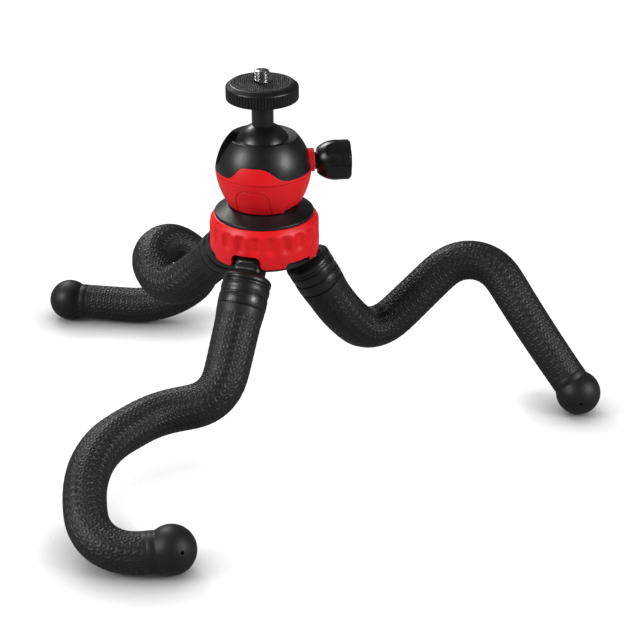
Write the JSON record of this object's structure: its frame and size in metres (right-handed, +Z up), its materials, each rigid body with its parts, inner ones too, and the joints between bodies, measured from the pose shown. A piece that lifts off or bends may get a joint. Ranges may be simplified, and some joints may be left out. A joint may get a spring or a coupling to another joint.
{
  "type": "flexible leg tripod",
  "caption": "Small camera support with bendable wire-cored rubber legs, a fluted hub ring and a ball head with clamp knob and round camera plate.",
  "frame": {"origin": "on the floor, under the head's own upright axis", "axes": "+Z up along the head's axis and the camera thread; the picture looks along +Y, with +X to its right"},
  "size_m": [0.2558, 0.2316, 0.1543],
  "materials": {
    "red_plastic": "glossy moulded red",
    "black_plastic": "satin black",
    "glossy_black_plastic": "gloss black",
    "collar_plastic": "semi-gloss black",
    "washer_plastic": "natural nylon",
    "black_anodised_metal": "black anodised",
    "steel": "zinc plated",
    "pad_rubber": "fine ribbed rubber",
    "leg_rubber": "matte foam rubber",
    "foot_rubber": "smooth satin rubber",
    "core_wire": "annealed wire"
  },
  "bodies": {
    "hub": {"hub_ring": "red_plastic", "hub_core": "black_plastic", "hub_top_plate": "black_plastic", "hub_base_plate": "black_plastic", "base_screws": "steel", "leg_hinge_pins": "steel", "head_bolt": "steel", "pan_washer": "washer_plastic"},
    "head": {"head_cup": "red_plastic", "head_band": "red_plastic", "head_cap": "black_plastic", "ball_seat": "washer_plastic", "clamp_shoe": "washer_plastic"},
    "ball": {"ball": "black_anodised_metal"},
    "camera_plate": {"ball_stem": "black_anodised_metal", "camera_plate": "black_plastic", "grip_pad": "pad_rubber", "camera_screw": "steel"},
    "clamp_knob": {"clamp_screw": "steel", "clamp_knob": "glossy_black_plastic"},
    "leg_front_1": {"leg_front_neck": "collar_plastic", "leg_front_collar": "collar_plastic", "leg_front_skin_1": "leg_rubber", "leg_front_core_1": "core_wire"},
    "leg_front_2": {"leg_front_skin_2": "leg_rubber", "leg_front_core_2": "core_wire"},
    "leg_front_3": {"leg_front_skin_3": "leg_rubber", "leg_front_core_3": "core_wire"},
    "leg_front_4": {"leg_front_skin_4": "leg_rubber", "leg_front_core_4": "core_wire", "leg_front_foot": "foot_rubber"},
    "leg_right_1": {"leg_right_neck": "collar_plastic", "leg_right_collar": "collar_plastic", "leg_right_skin_1": "leg_rubber", "leg_right_core_1": "core_wire"},
    "leg_right_2": {"leg_right_skin_2": "leg_rubber", "leg_right_core_2": "core_wire"},
    "leg_right_3": {"leg_right_skin_3": "leg_rubber", "leg_right_core_3": "core_wire"},
    "leg_right_4": {"leg_right_skin_4": "leg_rubber", "leg_right_core_4": "core_wire", "leg_right_foot": "foot_rubber"},
    "leg_left_1": {"leg_left_neck": "collar_plastic", "leg_left_collar": "collar_plastic", "leg_left_skin_1": "leg_rubber", "leg_left_core_1": "core_wire"},
    "leg_left_2": {"leg_left_skin_2": "leg_rubber", "leg_left_core_2": "core_wire"},
    "leg_left_3": {"leg_left_skin_3": "leg_rubber", "leg_left_core_3": "core_wire"},
    "leg_left_4": {"leg_left_skin_4": "leg_rubber", "leg_left_core_4": "core_wire", "leg_left_foot": "foot_rubber"}
  },
  "joints": [
    {"name": "head_pan", "type": "hinge", "parent": "hub", "child": "head", "pos_m": [0, 0, 0.0968], "axis": [0, 0, 1], "continuous": true},
    {"name": "head_tilt", "type": "hinge", "parent": "head", "child": "ball", "pos_m": [0, 0, 0.11991], "axis": [0.1045, -0.9945, 0], "range_deg": [-30, 90]},
    {"name": "plate_spin", "type": "hinge", "parent": "ball", "child": "camera_plate", "pos_m": [0, 0, 0.11991], "axis": [0, 0, 1], "continuous": true},
    {"name": "knob_turn", "type": "hinge", "parent": "head", "child": "clamp_knob", "pos_m": [0.02148, 0.00226, 0.11421], "axis": [0.9945, 0.1045, 0], "range_deg": [0, 540]},
    {"name": "leg_front_splay", "type": "hinge", "parent": "hub", "child": "leg_front_1", "pos_m": [-0.00354, -0.01041, 0.08106], "axis": [-0.9466, 0.3223, 0], "range_deg": [-25, 4]},
    {"name": "leg_front_bend_1", "type": "hinge", "parent": "leg_front_1", "child": "leg_front_2", "pos_m": [-0.02038, -0.05067, 0.03061], "axis": [0.0114, -0.7834, 0.6214], "range_deg": [-20, 50]},
    {"name": "leg_front_bend_2", "type": "hinge", "parent": "leg_front_2", "child": "leg_front_3", "pos_m": [-0.05879, -0.07692, 0.02676], "axis": [-0.4628, 0.3137, -0.8291], "range_deg": [-20, 45]},
    {"name": "leg_front_bend_3", "type": "hinge", "parent": "leg_front_3", "child": "leg_front_4", "pos_m": [-0.0606, -0.1254, 0.01144], "axis": [0.0089, 0.4289, -0.9033], "range_deg": [-15, 55]},
    {"name": "leg_right_splay", "type": "hinge", "parent": "hub", "child": "leg_right_1", "pos_m": [0.01079, 0.00214, 0.08106], "axis": [0.1942, -0.981, 0], "range_deg": [-15, 15]},
    {"name": "leg_right_bend_1", "type": "hinge", "parent": "leg_right_1", "child": "leg_right_2", "pos_m": [0.04759, 0.01731, 0.02797], "axis": [-0.4201, 0.8905, 0.1749], "range_deg": [-10, 56]},
    {"name": "leg_right_bend_2", "type": "hinge", "parent": "leg_right_2", "child": "leg_right_3", "pos_m": [0.09267, 0.0261, 0.05741], "axis": [-0.2554, -0.8189, 0.5139], "range_deg": [-15, 52]},
    {"name": "leg_right_bend_3", "type": "hinge", "parent": "leg_right_3", "child": "leg_right_4", "pos_m": [0.11797, 0.0052, 0.03461], "axis": [-0.7363, 0.1439, -0.6611], "range_deg": [-40, 40]},
    {"name": "leg_left_splay", "type": "hinge", "parent": "hub", "child": "leg_left_1", "pos_m": [-0.00725, 0.00828, 0.08106], "axis": [0.7524, 0.6587, 0], "range_deg": [-25, 0]},
    {"name": "leg_left_bend_1", "type": "hinge", "parent": "leg_left_1", "child": "leg_left_2", "pos_m": [-0.05211, 0.04822, 0.03948], "axis": [-0.3872, -0.4786, 0.788], "range_deg": [0, 50]},
    {"name": "leg_left_bend_2", "type": "hinge", "parent": "leg_left_2", "child": "leg_left_3", "pos_m": [-0.04748, 0.07187, 0.04561], "axis": [0.64, -0.5144, 0.5708], "range_deg": [0, 45]},
    {"name": "leg_left_bend_3", "type": "hinge", "parent": "leg_left_3", "child": "leg_left_4", "pos_m": [-0.03354, 0.07699, 0.02831], "axis": [0.0875, -0.9916, -0.0956], "range_deg": [0, 60]}
  ]
}
